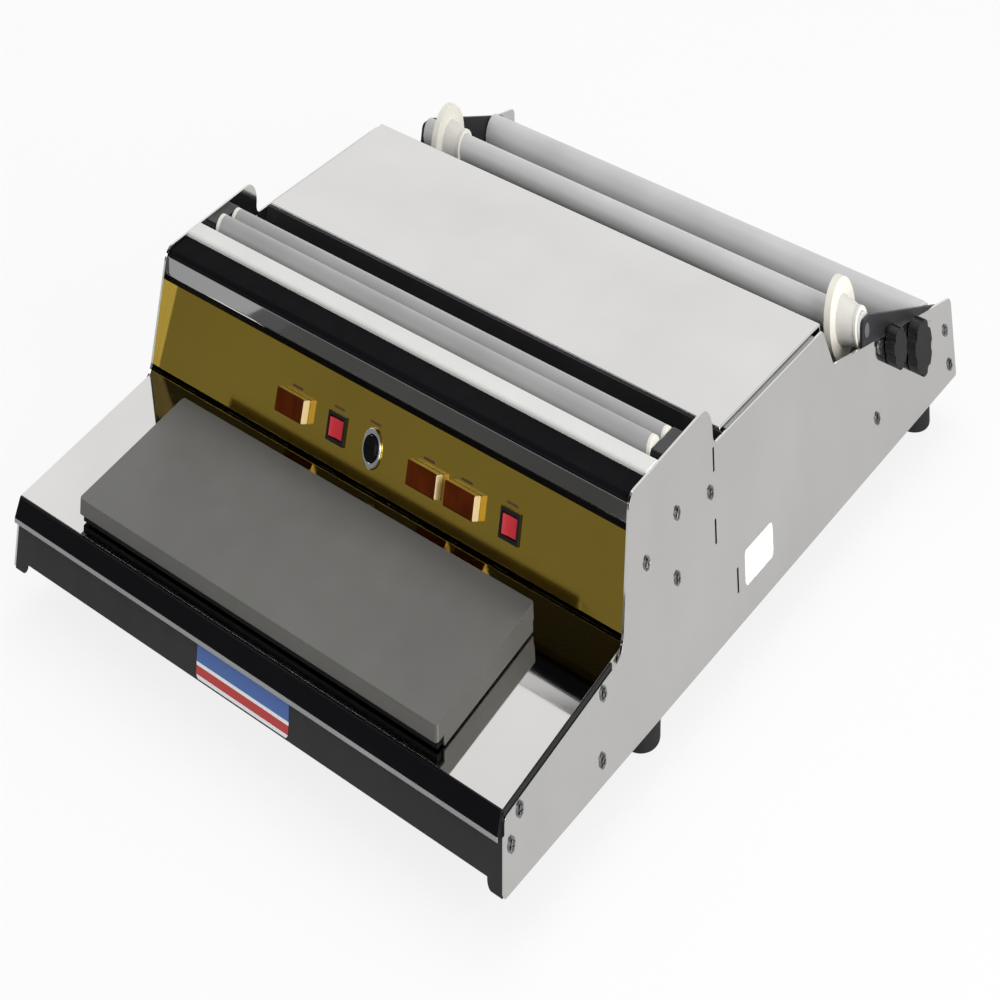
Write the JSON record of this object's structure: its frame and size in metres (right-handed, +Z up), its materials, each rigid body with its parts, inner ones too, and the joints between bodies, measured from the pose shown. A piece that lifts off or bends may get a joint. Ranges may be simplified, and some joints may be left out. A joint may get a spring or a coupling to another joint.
{
  "type": "film wrapping machine",
  "caption": "Tabletop hand film wrapper: heated sealing plate on a sloping deck, tower with switches, hot cutter and guide rollers, flat shelf and a rear film roll cradle.",
  "frame": {"origin": "on the floor under the middle of the machine", "axes": "+X to the operator's right, +Y from the operator to the back, +Z up"},
  "size_m": [0.5516, 0.696, 0.142],
  "materials": {
    "polished_steel": "polished stainless sheet",
    "satin_steel": "satin stainless",
    "zinc_steel": "plain zinc-plated sheet",
    "black_paint": "black powder coat",
    "gloss_black": "gloss black enamel",
    "dark_chrome": "dark polished enamel",
    "gold_panel": "gold anodised, brushed",
    "plate_coating": "grey non-stick coating",
    "plate_dark": "dark grey coating",
    "heater": "silicone heating mat",
    "insulator": "unglazed",
    "lens_amber": "clear amber-red",
    "black_plastic": "moulded black",
    "switch_red": "moulded red",
    "bright_metal": "nickel plated",
    "white_strip": "white fluoropolymer",
    "roller_grey": "satin anodised",
    "white_plastic": "cream moulded",
    "rubber": "moulded black",
    "copper_core": "laminated core and varnished winding",
    "label_white": "plain film",
    "label_colour": "plain film"
  },
  "bodies": {
    "chassis": {"side_plate_left": "polished_steel", "side_plate_right": "polished_steel", "base_pan": "black_paint", "front_apron": "black_paint", "front_lip": "gloss_black", "deck_sheet": "polished_steel", "plate_standoffs": "insulator", "hot_plate_tray": "plate_dark", "heater_mat": "heater", "hot_plate_cover": "plate_coating", "thermal_cutout": "insulator", "control_panel": "gold_panel", "pilot_lens_left": "lens_amber", "pilot_lens_middle": "lens_amber", "pilot_lens_right": "lens_amber", "lamp_housings": "black_plastic", "switch_frame_left": "black_plastic", "switch_frame_right": "black_plastic", "fuse_holder": "bright_metal", "nose_band": "dark_chrome", "nose_top": "gloss_black", "cutter_strip": "white_strip", "cutter_rod": "heater", "guide_block_left": "black_plastic", "guide_block_right": "black_plastic", "guide_shafts": "satin_steel", "slot_channel": "gloss_black", "shelf_sheet": "satin_steel", "shelf_rails": "zinc_steel", "bulkhead": "black_paint", "rear_panel": "polished_steel", "cord_gland": "rubber", "cradle_bracket_left": "black_paint", "cradle_bracket_right": "black_paint", "support_shaft": "satin_steel", "cradle_shaft": "satin_steel", "side_screws": "satin_steel", "tie_rods": "zinc_steel", "feet": "rubber", "transformer": "copper_core", "rating_label": "label_white", "apron_label": "label_colour"},
    "guide_front": {"guide_roller_front": "roller_grey", "guide_caps_front": "white_plastic"},
    "guide_rear": {"guide_roller_rear": "roller_grey", "guide_caps_rear": "white_plastic"},
    "support_roll": {"support_roller": "roller_grey"},
    "stop_left": {"film_stop_left": "white_plastic"},
    "stop_right": {"film_stop_right": "white_plastic"},
    "cradle_roll": {"cradle_roller": "roller_grey"},
    "switch_left": {"rocker_left": "switch_red"},
    "switch_right": {"rocker_right": "switch_red"},
    "fuse": {"fuse_cap": "bright_metal"},
    "knob_fl": {"knob_front_left": "black_plastic"},
    "knob_fr": {"knob_front_right": "black_plastic"},
    "knob_rl": {"knob_rear_left": "black_plastic"},
    "knob_rr": {"knob_rear_right": "black_plastic"}
  },
  "joints": [
    {"name": "guide_front_spin", "type": "hinge", "parent": "chassis", "child": "guide_front", "pos_m": [0, -0.1216, 0.13405], "axis": [1, 0, 0], "continuous": true},
    {"name": "guide_rear_spin", "type": "hinge", "parent": "chassis", "child": "guide_rear", "pos_m": [0, -0.1016, 0.13155], "axis": [1, 0, 0], "continuous": true},
    {"name": "support_spin", "type": "hinge", "parent": "chassis", "child": "support_roll", "pos_m": [0, 0.198, 0.09493], "axis": [1, 0, 0], "continuous": true},
    {"name": "cradle_spin", "type": "hinge", "parent": "chassis", "child": "cradle_roll", "pos_m": [0, 0.306, 0.06211], "axis": [1, 0, 0], "continuous": true},
    {"name": "stop_left_slide", "type": "slide", "parent": "support_roll", "child": "stop_left", "axis": [1, 0, 0], "range_m": [-0.02, 0.1705]},
    {"name": "stop_right_slide", "type": "slide", "parent": "support_roll", "child": "stop_right", "axis": [1, 0, 0], "range_m": [-0.1705, 0.002]},
    {"name": "switch_left_rock", "type": "hinge", "parent": "chassis", "child": "switch_left", "pos_m": [-0.047, -0.17816, 0.09086], "axis": [0, -0.309, -0.9511], "range_deg": [0, 18]},
    {"name": "switch_right_rock", "type": "hinge", "parent": "chassis", "child": "switch_right", "pos_m": [0.144, -0.17816, 0.09086], "axis": [0, -0.309, -0.9511], "range_deg": [0, 18]},
    {"name": "fuse_cap_turn", "type": "hinge", "parent": "chassis", "child": "fuse", "pos_m": [-0.006, -0.18025, 0.09154], "axis": [0, 0.9511, -0.309], "range_deg": [0, 90]},
    {"name": "knob_fl_turn", "type": "hinge", "parent": "chassis", "child": "knob_fl", "pos_m": [-0.27, 0.234, 0.07629], "axis": [-1, 0, 0], "range_deg": [-180, 180]},
    {"name": "knob_fr_turn", "type": "hinge", "parent": "chassis", "child": "knob_fr", "pos_m": [0.27, 0.234, 0.07629], "axis": [1, 0, 0], "range_deg": [-180, 180]},
    {"name": "knob_rl_turn", "type": "hinge", "parent": "chassis", "child": "knob_rl", "pos_m": [-0.27, 0.275, 0.06332], "axis": [-1, 0, 0], "range_deg": [-180, 180]},
    {"name": "knob_rr_turn", "type": "hinge", "parent": "chassis", "child": "knob_rr", "pos_m": [0.27, 0.275, 0.06332], "axis": [1, 0, 0], "range_deg": [-180, 180]}
  ]
}
